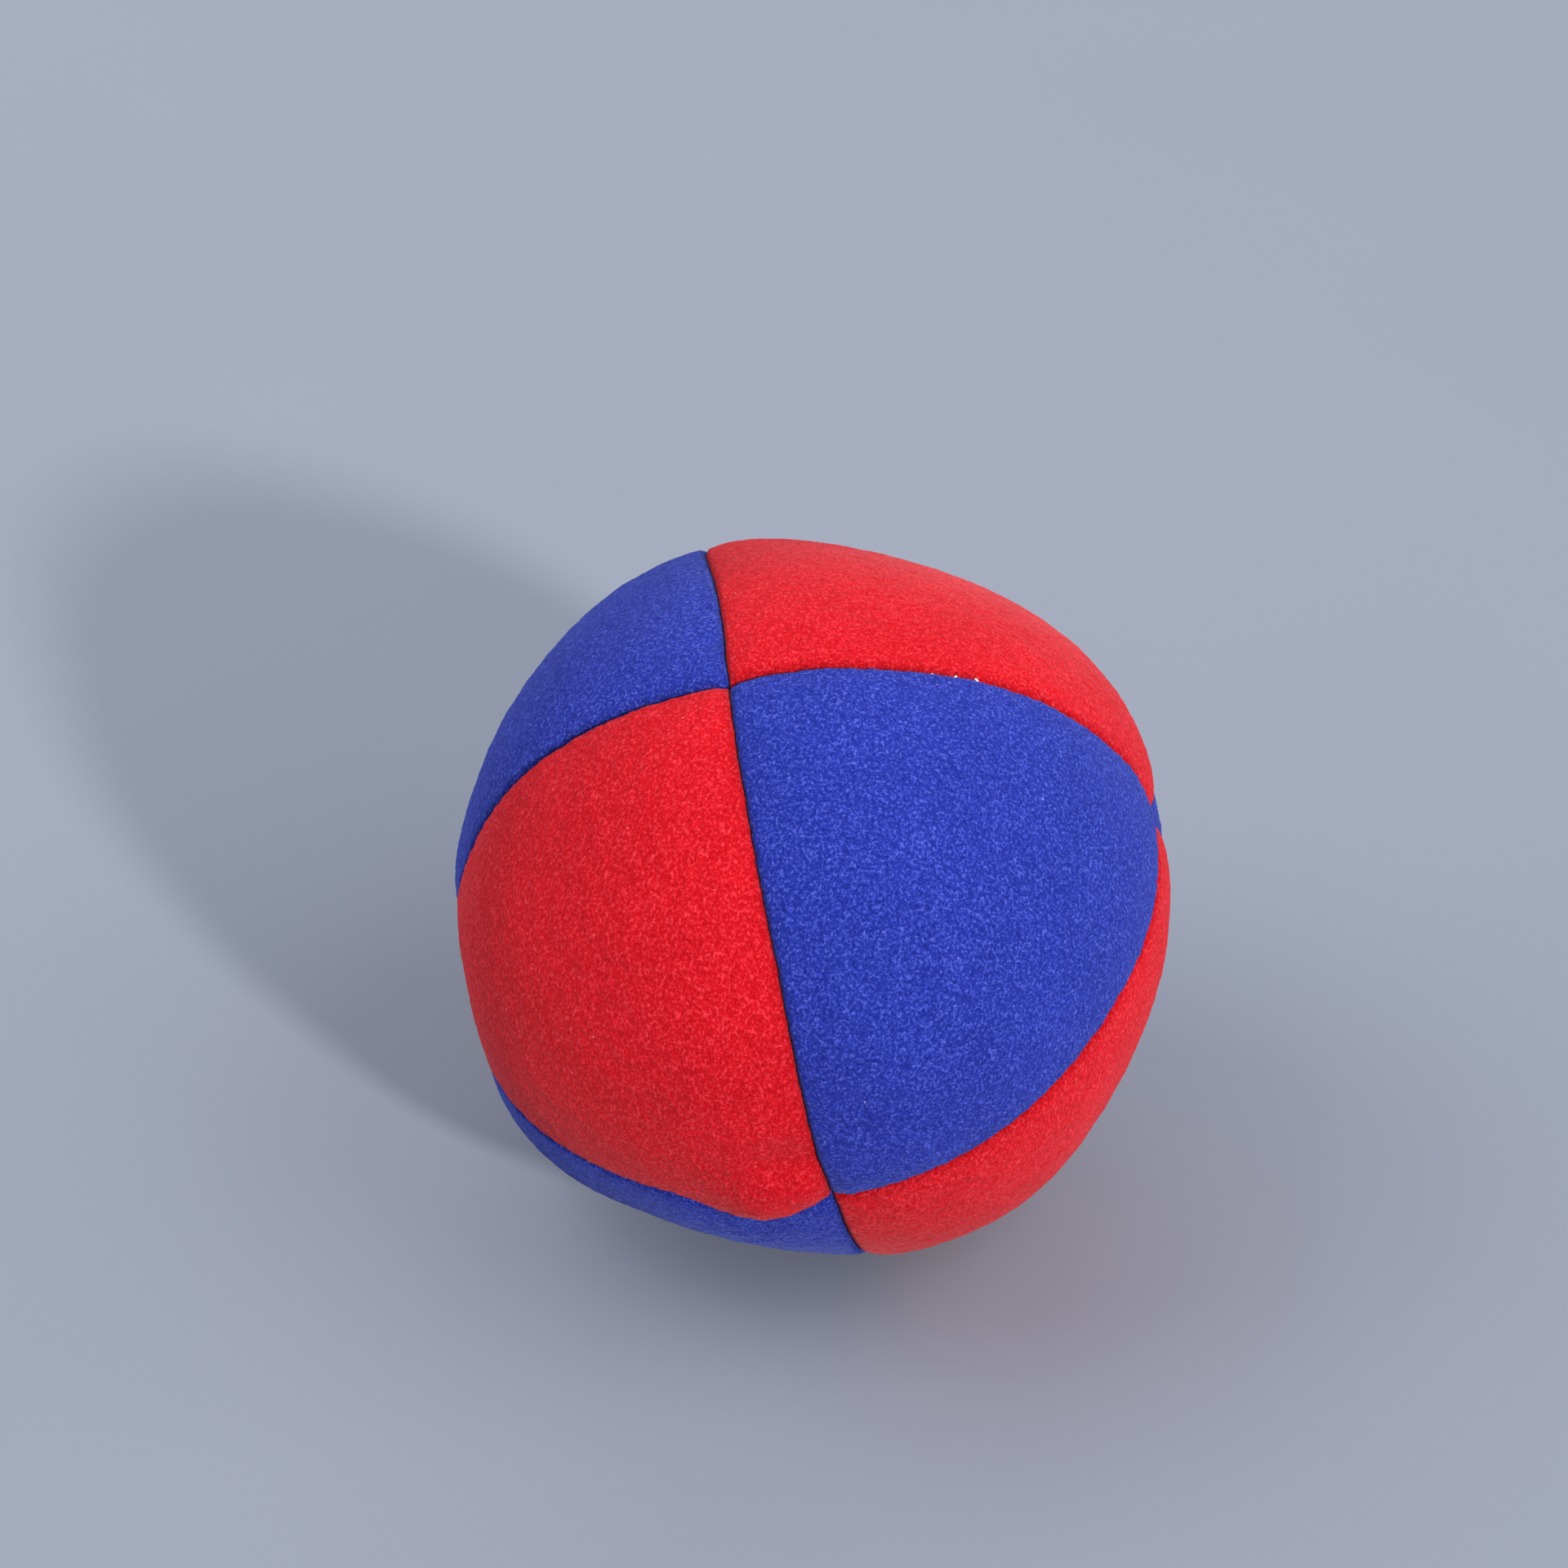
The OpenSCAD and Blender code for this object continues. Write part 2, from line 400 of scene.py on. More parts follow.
def swollen_bag():
    """Each panel's coarse grid directions and how far the filled cloth stands off the plain bag."""
    grids = {name: octant_grid(signs, SIM_STEPS) for name, signs in PANELS.items()}
    dirs, faces, numbers = joined_grids(grids)
    plain = bag_point(dirs)
    on_seam = nearest_seam(dirs) < TOUCHING
    shrunk = ball_centre + (plain - ball_centre) * START_SIZE
    filled = run_cloth(np.where(on_seam[:, None], plain, shrunk), faces, on_seam)
    outward = unit(plain - ball_centre)
    swell = ((filled - plain) * outward).sum(axis=1)
    swell = SWELL_CAP * np.tanh(swell / SWELL_CAP)
    return {name: (grids[name][0], swell[numbers[name]]) for name in PANELS}


def smooth_field(field, dirs):
    """The coarse swelling read smoothly at finer directions on the same panel."""
    coarse, swell = field
    width = (READ_WIDTH * np.pi / 2 / SIM_STEPS) ** 2
    out = np.empty(len(dirs))
    for start in range(0, len(dirs), READ_BATCH):
        part = slice(start, start + READ_BATCH)
        weight = np.exp(-(1 - dirs[part] @ coarse.T) * 2 / width)
        out[part] = (weight @ swell) / weight.sum(axis=1)
    return out


# ---------------------------------------------------------------------------------------------
# Sewn panels
# ---------------------------------------------------------------------------------------------

# Grid steps along a panel's side, in front and behind: the first is a multiple of the second
PANEL_STEPS = 384
INNER_STEPS = 32
PANEL_CROWD = 0.30
CLOTH_T = 1.1 * MM
# The cloth rolls over into the seam with this radius, but stops just short of upright
ROLL_R = 0.55 * MM
ROLL_SHARE = 0.995
# Each stitch puckers the edge, some more than others
STITCH_PITCH = 2.0 * MM
PUCKER_DEPTH = 0.07 * MM
PUCKER_REACH = 0.8 * MM
PUCKER_UNEVEN = 0.5
PUCKER_CELL = 4 * MM
# The cloth dips where four corners are sewn together
CORNER_HOLLOW = 0.45 * MM
CORNER_HOLLOW_R = 1.1 * MM
# How far each stitch draws the edge back from the seam, and the edge's own unevenness
EDGE_PULL = 0.006 * MM
EDGE_ROUGH = 0.012 * MM
EDGE_ROUGH_CELL = 0.6 * MM
EDGE_REACH = 0.5 * MM
# Turned-in edges: depths of the rows of points that go down into the seam, and the small gap that
# keeps them off its middle
FLANGE_DEPTHS = (0.4 * MM, 1.1 * MM, 2.4 * MM, 4.0 * MM)
FLANGE_GAP = 0.003 * MM
# A direction lies on a seam circle when one of its numbers is this close to zero
SEAM_ZERO = 1e-9
# Painted shade: within this distance of a seam the pile is coloured darker, standing in for the shade
# in the crease
PAINTED_SEAM_SHADE_REACH = 0.60 * MM
PAINTED_SEAM_SHADE_FALL = 1.5
# Relief of the pile, from its tufts to the uneven grain under it: height and distance between them
NAP_LAYERS = (
    (0.040 * MM, 0.44 * MM),
    (0.022 * MM, 0.30 * MM),
    (0.020 * MM, 1.7 * MM),
    (0.09 * MM, 7 * MM),
)

# Where one panel alone stands fuller (+) or slacker (-) than the bag:
# direction in the finished frame, height, and width in degrees
PANEL_PUFFS = {
    "red_panel_upper_front_left": [
        ((-0.115, -0.939, -0.323), 1.00 * MM, 7),
        ((-0.02, -0.975, -0.20), 0.60 * MM, 4),
        ((-0.045, -0.990, -0.125), -0.65 * MM, 5),
        ((-0.10, -0.985, -0.15), -0.40 * MM, 5),
    ],
    "blue_panel_lower_front_left": [
        ((-0.10, -0.90, -0.42), -0.35 * MM, 8),
    ],
}


def seam_plane_axes(axis):
    """The two of the ball's own axes that a seam circle goes round by: it starts at the first."""
    return [(1, 2), (2, 0), (0, 1)][axis]


def stitch_pull(ball_dirs, axis):
    """1 at each stitch along a seam circle and 0 half-way between stitches."""
    a, b = seam_plane_axes(axis)
    along = BALL_R * np.arctan2(ball_dirs[:, b], ball_dirs[:, a])
    return 0.5 + 0.5 * np.cos(2 * np.pi * along / STITCH_PITCH)


def roll_depth(distance):
    """How far the rolled edge has turned down at a distance from the seam."""
    short = np.clip(ROLL_R - distance, 0, ROLL_R * ROLL_SHARE)
    return ROLL_R - np.sqrt(ROLL_R ** 2 - short ** 2)


def edge_depth(ball_dirs):
    """Depth of the sewn edges below the panel's own surface."""
    away = seam_distance(ball_dirs)
    total = np.zeros(len(ball_dirs))
    for axis in range(3):
        near = away[:, axis]
        noise = value_noise(ball_dirs * BALL_R, PUCKER_CELL, PUCKER_SEED + axis)
        pucker = PUCKER_DEPTH * stitch_pull(ball_dirs, axis) * (1 + PUCKER_UNEVEN * noise)
        total += (roll_depth(near) + pucker * np.exp(-near / PUCKER_REACH)) ** 2
    hollow = np.exp(-(nearest_corner(ball_dirs) / CORNER_HOLLOW_R) ** 2)
    return np.sqrt(total) + CORNER_HOLLOW * hollow


def edge_pull(ball_dirs, signs):
    """Small shift of the sewn edge away from its seam, deepest at each stitch."""
    away = seam_distance(ball_dirs)
    shift = np.zeros_like(ball_dirs)
    for axis in range(3):
        near = np.exp(-away[:, axis] / EDGE_REACH)
        seed = EDGE_SEED + axis + signs[axis]
        rough = 1 + value_noise(ball_dirs * BALL_R, EDGE_ROUGH_CELL, seed)
        pull = EDGE_PULL * stitch_pull(ball_dirs, axis) + EDGE_ROUGH * rough / 2 + FLANGE_GAP
        shift[:, axis] = signs[axis] * pull * near
    return shift @ CORNERS.T


def nap_height(places):
    """Relief of the brushed pile and the unevenness of the grain under it."""
    height = np.zeros(len(places))
    for number, (relief, cell) in enumerate(NAP_LAYERS):
        height += relief * value_noise(places, cell, NAP_SEED + number)
    return height


def panel_points(name, dirs, signs, field, skin=0.0):
    """Places on a panel's outer surface, or a skin's depth below it."""
    base = bag_point(dirs)
    outward = unit(base - ball_centre)
    height = smooth_field(field, dirs) - skin
    for towards, puff, width in PANEL_PUFFS.get(name, ()):
        height += puff * bump_over(outward, towards, width)
    if not skin:
        height += nap_height(base) - edge_depth(dirs)
    return base + outward * height[:, None] + edge_pull(dirs, signs)


def flange_rings(dirs, points, rim, signs):
    """Rings of points that carry a panel's edge down into the seam and back up behind itself."""
    outward = unit(points[rim] - ball_centre)
    on_seam = np.abs(dirs[rim]) < SEAM_ZERO
    behind = (on_seam * np.array(signs, float)) @ CORNERS.T * CLOTH_T
    rings = [points[rim] - outward * depth for depth in FLANGE_DEPTHS]
    rings.append(rings[-1] + behind)
    rings.append(points[rim] - outward * CLOTH_T + behind)
    return rings


def painted_seam_shade_mask(dirs):
    """1 at a seam, where shade is painted darker into the pile, falling to 0 in the open panel."""
    return np.exp(-(nearest_seam(dirs) / PAINTED_SEAM_SHADE_REACH) ** PAINTED_SEAM_SHADE_FALL)


def band(upper, lower):
    """Triangles between two closed rings with the same number of points."""
    upper_next = np.roll(upper, -1)
    lower_next = np.roll(lower, -1)
    first = np.stack([upper, lower, lower_next], axis=1)
    second = np.stack([upper, lower_next, upper_next], axis=1)
    return np.concatenate([first, second])


def coarser_band(fine, coarse):
    """Triangles between a closed ring and one with a whole fraction of its points."""
    ratio = len(fine) // len(coarse)
    fine_next = np.roll(fine, -1)
    nearest = ((np.arange(len(fine)) + ratio // 2) // ratio) % len(coarse)
    following = np.roll(nearest, -1)
    first = np.stack([fine, coarse[nearest], fine_next], axis=1)
    second = np.stack([fine_next, coarse[nearest], coarse[following]], axis=1)
    return np.concatenate([first, second[nearest != following]])


def build_panel(name, signs, field):
    """One panel: its napped outer skin, its edges turned into the seams, and its plain back."""
    dirs, triangles, rim = octant_grid(signs, PANEL_STEPS, PANEL_CROWD)
    outer = panel_points(name, dirs, signs, field)
    back_dirs, back_triangles, back_rim = octant_grid(signs, INNER_STEPS)
    back = panel_points(name, back_dirs, signs, field, CLOTH_T)
    rings = flange_rings(dirs, outer, rim, signs)
    # The last ring is the back's own rim, which has fewer points
    back[back_rim] = rings.pop()[::PANEL_STEPS // INNER_STEPS]
    count = len(outer)
    rows = [rim] + [np.arange(len(rim)) + count + k * len(rim) for k in range(len(rings))]
    back_start = count + len(rings) * len(rim)
    edge = [band(upper, lower) for upper, lower in zip(rows, rows[1:])]
    edge.append(coarser_band(rows[-1], back_rim + back_start))
    edge = np.concatenate(edge)
    if turns_backwards(signs):
        edge = edge[:, ::-1]
    points = settle(np.concatenate([outer, *rings, back]))
    faces = np.concatenate([triangles, edge, back_triangles[:, ::-1] + back_start])
    panel = make_object("sewn_" + name, points, faces)
    # Painted seam shade for the material: fading from the seams over the outer skin, full on the edges
    # and back
    painted_seam_shade = np.concatenate([painted_seam_shade_mask(dirs), np.ones(len(points) - count)])
    panel.data.attributes.new("painted_seam_shade", "FLOAT", "POINT").data.foreach_set("value", painted_seam_shade)
    return panel


# ---------------------------------------------------------------------------------------------
# Thread and filling
# ---------------------------------------------------------------------------------------------

# Radius, depth below the bag, and how far each stitch goes sideways and up and down
THREAD_R = 0.22 * MM
THREAD_DEPTH = 1.7 * MM
THREAD_SWAY = 0.45 * MM
THREAD_LIFT = 0.16 * MM
CLOSING_R = 0.11 * MM
CLOSING_DEPTH = 1.15 * MM
CLOSING_SWAY = 0.42 * MM
CLOSING_LIFT = 0.36 * MM
# A few of the hand stitches are drawn less tight and show: middle and half-width in degrees
LOOSE_AT = 36.9
LOOSE_HALF = 6.5
LOOSE_RISE = 0.56 * MM
# How squarely the hand stitches turn from one side of the seam to the other
LOOSE_TURN = 4
STEPS_PER_STITCH = 8

FILLING_STEPS = 72
FILLING_DEPTH = 1.45 * MM
# The turned-in edges part the filling this much deeper, over this distance from the seam
FILLING_DIP = 3.2 * MM
FILLING_DIP_REACH = 2.7 * MM
GRAIN_SIZE = 2.0 * MM
GRAIN_RELIEF = 0.30 * MM


def circle_dirs(axis, angles):
    """Directions round one seam circle, at angles in degrees."""
    a, b = seam_plane_axes(axis)
    dirs = np.zeros((len(angles), 3))
    dirs[:, a] = np.cos(np.radians(angles))
    dirs[:, b] = np.sin(np.radians(angles))
    return dirs


def thread_path(axis, first, last, depth, sway, lift, loose=False):
    """A thread that passes from one side of its seam to the other, once for each stitch."""
    length = math.radians(last - first) * BALL_R
    stitches = max(2, round(length / STITCH_PITCH))
    phase = np.linspace(0, stitches, stitches * STEPS_PER_STITCH + 1)
    angles = first + (last - first) * phase / stitches
    side = np.sin(np.pi * phase)
    rise = lift * np.cos(2 * np.pi * phase)
    if loose:
        side = np.tanh(LOOSE_TURN * side)
        rise += LOOSE_RISE * np.exp(-((angles - LOOSE_AT) / LOOSE_HALF) ** 4)
    base = bag_point(circle_dirs(axis, angles), depth)
    outward = unit(base - ball_centre)
    places = base + CORNERS[:, axis] * (side * sway)[:, None] + outward * rise[:, None]
    return settle(places)


def build_thread(name, places, radius):
    """A round thread along a row of places, as one open curve."""
    curve = bpy.data.curves.new(name, "CURVE")
    curve.dimensions = "3D"
    curve.bevel_depth = radius
    curve.bevel_resolution = 2
    curve.use_fill_caps = True
    spline = curve.splines.new("POLY")
    spline.points.add(len(places) - 1)
    for point, place in zip(spline.points, places):
        point.co = (*place, 1)
    obj = bpy.data.objects.new(name, curve)
    bpy.context.scene.collection.objects.link(obj)
    return obj


def build_filling(fields):
    """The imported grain: the inside of the bag, knobbly with seeds and parted by the sewn edges."""
    points = []
    faces = []
    start = 0
    for name, signs in PANELS.items():
        dirs, triangles, _ = octant_grid(signs, FILLING_STEPS)
        dip = FILLING_DIP * np.exp(-(nearest_seam(dirs) / FILLING_DIP_REACH) ** 4)
        base = bag_point(dirs, FILLING_DEPTH + dip)
        relief = np.abs(value_noise(base, GRAIN_SIZE, GRAIN_SEED)) * GRAIN_RELIEF
        height = smooth_field(fields[name], dirs) - relief
        points.append(settle(base + unit(base - ball_centre) * height[:, None]))
        faces.append(triangles + start)
        start += len(dirs)
    every = np.concatenate(points)
    every[:, 2] = np.maximum(every[:, 2], FLOOR_Z + FILLING_DEPTH)
    filling = make_object("packed_grain", every, np.concatenate(faces))
    weld = filling.modifiers.new("weld", "WELD")
    weld.merge_threshold = TOUCHING
    return filling


# ---------------------------------------------------------------------------------------------
# Materials
# ---------------------------------------------------------------------------------------------


class Nodes:
    """Short calls for building one material's node tree."""

    def __init__(self, name):
        self.material = bpy.data.materials.new(name)
        self.material.use_nodes = True
        self.tree = self.material.node_tree
        self.shader = self.tree.nodes["Principled BSDF"]

    def add(self, kind, **values):
        """A new node, with some of its settings."""
        node = self.tree.nodes.new(kind)
        for key, value in values.items():
            setattr(node, key, value)
        return node

    def link(self, source, target):
        """A wire from one socket to another."""
        self.tree.links.new(source, target)

    def place(self):
        """Coordinates that are fixed to the object, in metres."""
        return self.add("ShaderNodeTexCoord").outputs["Object"]

    def noise(self, vector, scale, detail=2.0, rough=0.5):
        """Noise from 0 to 1, with a scale in features per metre."""
        node = self.add("ShaderNodeTexNoise")
        node.inputs["Scale"].default_value = scale
        node.inputs["Detail"].default_value = detail
        node.inputs["Roughness"].default_value = rough
        self.link(vector, node.inputs["Vector"])
        return node.outputs["Fac"]

    def stretch(self, vector, scale):
        """Coordinates scaled by their own factor along each axis."""
        node = self.add("ShaderNodeMapping")
        node.inputs["Scale"].default_value = scale
        self.link(vector, node.inputs["Vector"])
        return node.outputs["Vector"]

    def ramp(self, factor, stops):
        """Colours read from a row of (place, colour) stops."""
        node = self.add("ShaderNodeValToRGB")
        elements = node.color_ramp.elements
        while len(elements) < len(stops):
            elements.new(0.5)
        for element, (place, colour) in zip(elements, stops):
            element.position = place
            element.color = (*colour, 1)
        self.link(factor, node.inputs["Fac"])
        return node.outputs["Color"]

    def math(self, operation, a, b=0.0):
        """The result of one operation on two sockets or numbers."""
        node = self.add("ShaderNodeMath", operation=operation)
        for socket, value in zip(node.inputs, (a, b)):
            if isinstance(value, (int, float)):
                socket.default_value = value
            else:
                self.link(value, socket)
        return node.outputs["Value"]

    def mix(self, factor, a, b, blend="MIX"):
        """A mix of two sockets or colours."""
        node = self.add("ShaderNodeMix", data_type="RGBA", blend_type=blend)
        # The sockets of a colour mix: its factor and its two colours
        for socket, value in ((node.inputs[0], factor), (node.inputs[6], a), (node.inputs[7], b)):
            if isinstance(value, (int, float)):
                socket.default_value = value
            elif isinstance(value, tuple):
                socket.default_value = (*value, 1)
            else:
                self.link(value, socket)
        return node.outputs[2]

    def bump(self, height, distance, strength, normal=None):
        """A surface normal tilted by a height, on top of another bump if there is one."""
        node = self.add("ShaderNodeBump")
        node.inputs["Distance"].default_value = distance
        node.inputs["Strength"].default_value = strength
        self.link(height, node.inputs["Height"])
        if normal is not None:
            self.link(normal, node.inputs["Normal"])
        return node.outputs["Normal"]


RED_SHADES = ((0.46, 0.002, 0.006), (0.64, 0.005, 0.013), (0.86, 0.055, 0.075))
BLUE_SHADES = ((0.010, 0.017, 0.195), (0.019, 0.033, 0.325), (0.100, 0.132, 0.60))
RED_SHEEN = (1.0, 0.38, 0.40)
BLUE_SHEEN = (0.40, 0.48, 1.0)
# How much the brushing has drawn the pile out along Z: 1 is not at all
RED_BRUSH = 0.55
BLUE_BRUSH = 0.85

# Noise scales of the velour, in features per metre. Tufts also have their noise's own roughness.
TUFT_SCALE = 3300
TUFT_ROUGHNESS = 0.65
CURL_SCALE = 2500
HAIR_SCALE = 4400
FIBRE_END_SCALE = 4000
LINT_SCALE = 3600
PATCH_SCALE = 120
# How thin the two kinds of fibre are, how bright, and how the finer one is stretched across
CURL_FINENESS = 8.0
HAIR_FINENESS = 7.0
CURL_SHARE = 0.9
HAIR_SHARE = 0.7
HAIR_STRETCH = (0.8, 1.1)
# What tufts and fibres each add to the pile, and where the pile takes its three shades
TUFT_PART = 0.64
FIBRE_PART = 0.36
SHADE_STOPS = (0.26, 0.46, 0.74)
# Stops of (noise value, grey) for where fibres show, how laid the pile is, and where lint sticks
FIBRE_END_STOPS = ((0.35, 0.35), (0.65, 1.0))
PATCH_STOPS = ((0.30, 0.90), (0.72, 1.0))
LINT_STOPS = ((0.86, 0.0), (0.93, 0.4))
LINT_COLOUR = (0.72, 0.62, 0.60)
# Painted seam shade: the pile keeps this share of its colour at a seam
PAINTED_SEAM_SHADE = 0.75
TUFT_BUMP = 0.10 * MM
FIBRE_BUMP = 0.05 * MM
PILE_BUMP_STRENGTH = 0.6
PILE_ROUGHNESS = 0.78
PILE_ROUGHNESS_RANGE = 0.2
PILE_SPECULAR = 0.06
SHEEN_WEIGHT = 0.23
SHEEN_ROUGHNESS = 0.45

THREAD_TWIST_SCALE = 5200
THREAD_TWIST_STRETCH = (1.0, 1.0, 2.2)
THREAD_TWIST_ROUGHNESS = 0.6
THREAD_TWIST_STOPS = (0.35, 0.65)
THREAD_BUMP = 0.06 * MM
THREAD_ROUGHNESS = 0.6
THREAD_ROUGHNESS_RANGE = 0.2
DARK_THREAD = ((0.012, 0.010, 0.03), (0.03, 0.025, 0.06))
PALE_THREAD = ((0.55, 0.52, 0.50), (0.82, 0.80, 0.78))
GRAIN_HUSK = (0.72, 0.52, 0.22)
GRAIN_GAP = (0.30, 0.18, 0.06)
GRAIN_STOPS = (0.1, 0.8)
GRAIN_BUMP = 0.4 * MM
GRAIN_ROUGHNESS = 0.6
# Thread and grain are out of sight or small, and take a strong bump
HIDDEN_BUMP_STRENGTH = 0.8


def greys(stops):
    """Ramp stops from pairs of a place and a grey."""
    return [(place, (grey,) * 3) for place, grey in stops]


def strands(n, vector, scale, fineness):
    """Thin curly lines, bright along the middle of each fibre."""
    wave = n.noise(vector, scale, 1.0)
    off = n.math("ABSOLUTE", n.math("SUBTRACT", wave, 0.5))
    return n.math("MAXIMUM", n.math("SUBTRACT", 1.0, n.math("MULTIPLY", off, fineness)))


def pile_fibres(n, place, brushed, brush):
    """Fibres that lie on the pile: curls, and shorter finer hairs between them."""
    curls = strands(n, brushed, CURL_SCALE, CURL_FINENESS)
    hairs = strands(n, n.stretch(place, (*HAIR_STRETCH, brush)), HAIR_SCALE, HAIR_FINENESS)
    return n.math("MAXIMUM", n.math("MULTIPLY", curls, CURL_SHARE),
                  n.math("MULTIPLY", hairs, HAIR_SHARE))


def pile_colour(n, place, tufts, fibres, shades):
    """Bright fibre ends over darker gaps, in soft patches, with painted shade along the seams, and pale
    lint.
    """
    ends = n.ramp(n.noise(place, FIBRE_END_SCALE, 0.0), greys(FIBRE_END_STOPS))
    shown = n.math("MULTIPLY", n.math("MULTIPLY", fibres, ends), FIBRE_PART)
    pile = n.math("ADD", n.math("MULTIPLY", tufts, TUFT_PART), shown)
    colour = n.ramp(pile, list(zip(SHADE_STOPS, shades)))
    laid = n.ramp(n.noise(place, PATCH_SCALE), greys(PATCH_STOPS))
    colour = n.mix(1.0, colour, laid, "MULTIPLY")
    lint = n.ramp(n.noise(place, LINT_SCALE, 0.0), greys(LINT_STOPS))
    colour = n.mix(lint, colour, LINT_COLOUR)
    # Painted shade: the pile's colour is darkened along the seams, as the shade in each crease
    painted_seam_shade = n.add("ShaderNodeAttribute", attribute_name="painted_seam_shade").outputs["Fac"]
    return n.mix(painted_seam_shade, colour, n.mix(1.0, colour, (PAINTED_SEAM_SHADE,) * 3, "MULTIPLY"))


def velour(name, shades, sheen, brush):
    """Short brushed pile. shades are its deep, main and tip colours."""
    n = Nodes(name)
    place = n.place()
    brushed = n.stretch(place, (1.0, 1.0, brush))
    tufts = n.noise(brushed, TUFT_SCALE, rough=TUFT_ROUGHNESS)
    fibres = pile_fibres(n, place, brushed, brush)
    n.link(pile_colour(n, place, tufts, fibres, shades), n.shader.inputs["Base Color"])
    rough = n.math("ADD", n.math("MULTIPLY", tufts, PILE_ROUGHNESS_RANGE), PILE_ROUGHNESS)
    n.link(rough, n.shader.inputs["Roughness"])
    normal = n.bump(tufts, TUFT_BUMP, PILE_BUMP_STRENGTH)
    normal = n.bump(fibres, FIBRE_BUMP, PILE_BUMP_STRENGTH, normal)
    n.link(normal, n.shader.inputs["Normal"])
    n.shader.inputs["Specular IOR Level"].default_value = PILE_SPECULAR
    n.shader.inputs["Sheen Weight"].default_value = SHEEN_WEIGHT
    n.shader.inputs["Sheen Roughness"].default_value = SHEEN_ROUGHNESS
    n.shader.inputs["Sheen Tint"].default_value = (*sheen, 1)
    return n.material


def thread_material(name, dark, light):
    """Twisted thread, light on its strands and dark between them."""
    n = Nodes(name)
    twisted = n.stretch(n.place(), THREAD_TWIST_STRETCH)
    twist = n.noise(twisted, THREAD_TWIST_SCALE, rough=THREAD_TWIST_ROUGHNESS)
    colour = n.ramp(twist, list(zip(THREAD_TWIST_STOPS, (dark, light))))
    n.link(colour, n.shader.inputs["Base Color"])
    n.link(n.bump(twist, THREAD_BUMP, HIDDEN_BUMP_STRENGTH), n.shader.inputs["Normal"])
    rough = n.math("ADD", n.math("MULTIPLY", twist, THREAD_ROUGHNESS_RANGE), THREAD_ROUGHNESS)
    n.link(rough, n.shader.inputs["Roughness"])
    return n.material


def grain_material():
    """Dry seeds, pale in the middle and brown where they meet."""
    n = Nodes("dry_grain")
    seeds = n.add("ShaderNodeTexVoronoi")
    seeds.inputs["Scale"].default_value = 1 / GRAIN_SIZE
    n.link(n.place(), seeds.inputs["Vector"])
    away = seeds.outputs["Distance"]
    tint = n.ramp(away, list(zip(GRAIN_STOPS, (GRAIN_HUSK, GRAIN_GAP))))
    n.link(tint, n.shader.inputs["Base Color"])
    n.link(n.bump(away, GRAIN_BUMP, HIDDEN_BUMP_STRENGTH), n.shader.inputs["Normal"])
    n.shader.inputs["Roughness"].default_value = GRAIN_ROUGHNESS
    return n.material


# ---------------------------------------------------------------------------------------------
# Stage, light and camera
# ---------------------------------------------------------------------------------------------

CAMERA_ELEVATION = 39
CAMERA_LENS = 90
CAMERA_DISTANCE = 357.5 * MM
# Where the ball's centre sits in the picture, as shares of its width from the middle
SEEN_RIGHT = 0.018
SEEN_BELOW = 0.071

FLOOR_HALF = 2.0
FLOOR_TONE_SCALE = 9
FLOOR_TONE_STOPS = (0.3, 0.7)
FLOOR_COLOURS = ((0.262, 0.282, 0.340), (0.272, 0.292, 0.350))
FLOOR_ROUGHNESS = 0.70
FLOOR_SPECULAR = 0.15

# Azimuth 0 is in front of the ball, on -Y, and 90 is on +X
KEY_AZIMUTH = 35
KEY_ELEVATION = 25
KEY_STRENGTH = 2.6
KEY_SPREAD = 5
KEY_COLOUR = (1, 0.98, 0.95)
# Soft lights: azimuth, elevation and power
SOFTBOXES = {
    "right": (75, 45, 3.5),
    "left": (265, 50, 4.0),
    "back": (185, 42, 1.8),
}
SOFTBOX_DISTANCE = 0.9
SOFTBOX_SIZE = 0.7
SOFTBOX_COLOUR = (0.96, 0.98, 1)
WORLD_COLOUR = (0.80, 0.88, 1.0)
WORLD_STRENGTH = 0.46


def build_floor():
    """A plain pale floor under the ball, a little uneven in tone."""
    corners = [(-1, -1), (1, -1), (1, 1), (-1, 1)]
    points = [(x * FLOOR_HALF, y * FLOOR_HALF, FLOOR_Z) for x, y in corners]
    floor = make_object("floor", points, [(0, 1, 2, 3)])
    n = Nodes("pale_floor")
    tone = n.noise(n.place(), FLOOR_TONE_SCALE)
    colour = n.ramp(tone, list(zip(FLOOR_TONE_STOPS, FLOOR_COLOURS)))
    n.link(colour, n.shader.inputs["Base Color"])
    n.shader.inputs["Roughness"].default_value = FLOOR_ROUGHNESS
    n.shader.inputs["Specular IOR Level"].default_value = FLOOR_SPECULAR
    floor.data.materials.append(n.material)


def direction(azimuth, elevation):
    """Unit vector towards an azimuth and elevation in degrees."""
    a = math.radians(azimuth)
    e = math.radians(elevation)
    return Vector((math.sin(a) * math.cos(e), -math.cos(a) * math.cos(e), math.sin(e)))


def aim(obj, place, target):
    """Put a light or camera at a place and point it at a target."""
    obj.location = place
    obj.rotation_mode = "QUATERNION"
    obj.rotation_quaternion = (Vector(target) - Vector(place)).to_track_quat("-Z", "Y")


def add_to_scene(name, data):
    """A new object in the scene for a light's or camera's data."""
    obj = bpy.data.objects.new(name, data)
    bpy.context.scene.collection.objects.link(obj)
    return obj


def build_key():
    """The main light, distant and fairly hard, as the photo's shadow shows."""
    data = bpy.data.lights.new("key", "SUN")
    data.energy = KEY_STRENGTH
    data.angle = math.radians(KEY_SPREAD)
    data.color = KEY_COLOUR
    aim(add_to_scene("key", data), direction(KEY_AZIMUTH, KEY_ELEVATION), (0, 0, 0))


